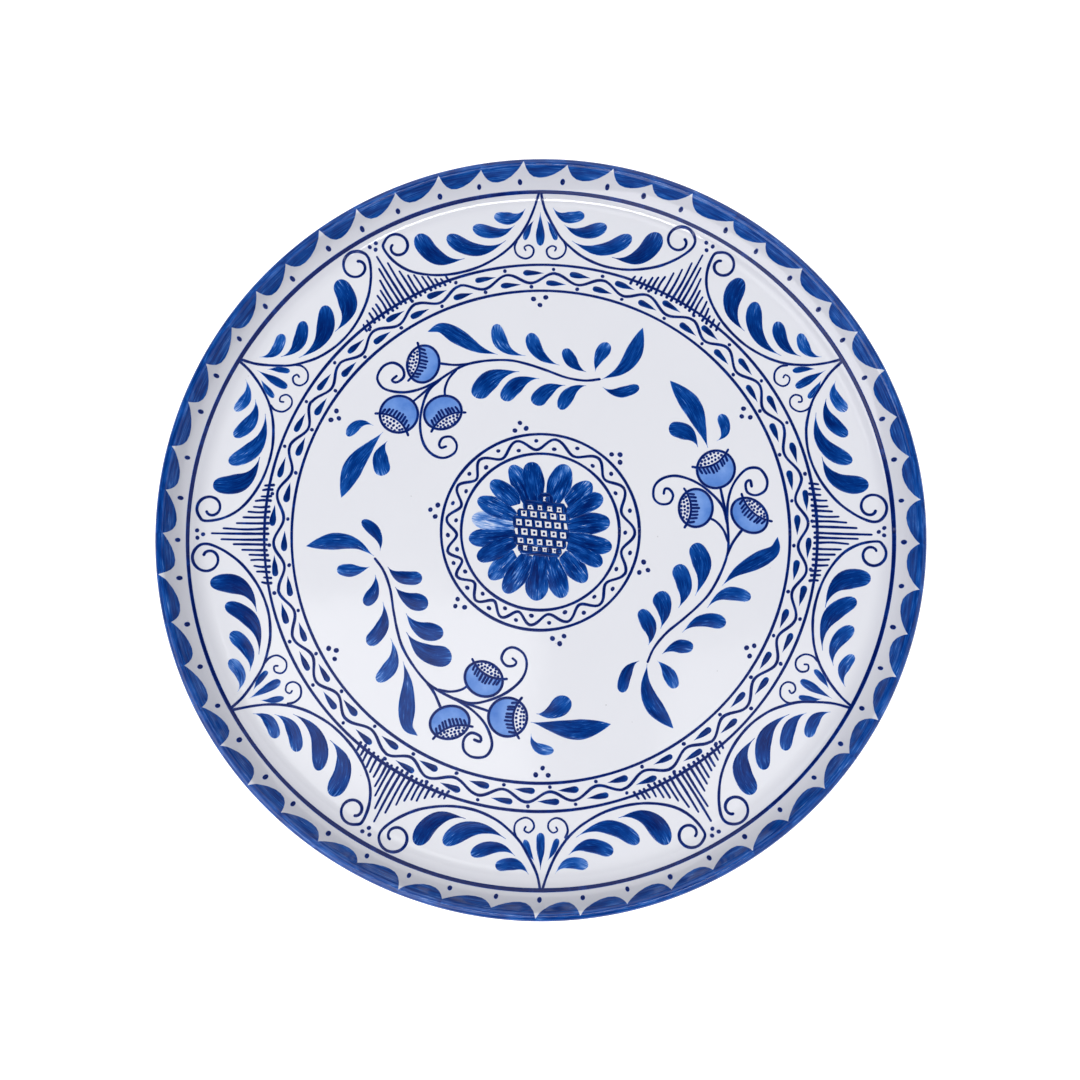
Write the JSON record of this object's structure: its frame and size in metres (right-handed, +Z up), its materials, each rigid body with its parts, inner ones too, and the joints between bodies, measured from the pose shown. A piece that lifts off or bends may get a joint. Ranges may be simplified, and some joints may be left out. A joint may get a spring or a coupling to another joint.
{
  "type": "serving plate",
  "caption": "Round glazed earthenware serving plate with a foot ring, a shallow well, a rounded lip and hand painted blue floral brushwork.",
  "frame": {"origin": "centre of the foot ring's resting plane", "axes": "+Z up through the middle of the plate, +Y towards the point of one painted garland, +X a quarter turn clockwise from +Y seen from above"},
  "size_m": [0.3003, 0.3002, 0.0203],
  "materials": {
    "fired_clay": "bare fired clay, matte, seen only on the foot ring",
    "white_glaze": "glossy white glaze, slightly uneven",
    "cobalt_brush": "cobalt brush strokes under the gloss, streaked from light to dark",
    "navy_line": "dark blue liner brush work under the gloss",
    "pale_blue_wash": "thin pale blue wash under the gloss"
  },
  "bodies": {
    "root": {"clay_floor": "fired_clay", "clay_wall": "fired_clay", "clay_lip": "fired_clay", "foot_ring": "fired_clay", "face_glaze": "white_glaze", "foot_recess_glaze": "white_glaze", "rim_scallop_band": "cobalt_brush", "rim_dots": "navy_line", "border_line": "navy_line", "garland_scrolls": "navy_line", "garland_leaves": "cobalt_brush", "fan_petals": "cobalt_brush", "comb_hatching": "navy_line", "comb_dots": "navy_line", "band_rings": "navy_line", "band_wave": "navy_line", "band_teardrops": "cobalt_brush", "band_dots": "navy_line", "triple_dots": "navy_line", "branch_stems": "navy_line", "branch_leaves": "cobalt_brush", "berry_washes": "pale_blue_wash", "berry_linework": "navy_line", "berry_seed_dots": "navy_line", "medallion_rings": "navy_line", "medallion_wave": "navy_line", "medallion_dots": "navy_line", "sunflower_petals": "cobalt_brush", "sunflower_lattice": "navy_line"}
  },
  "joints": []
}
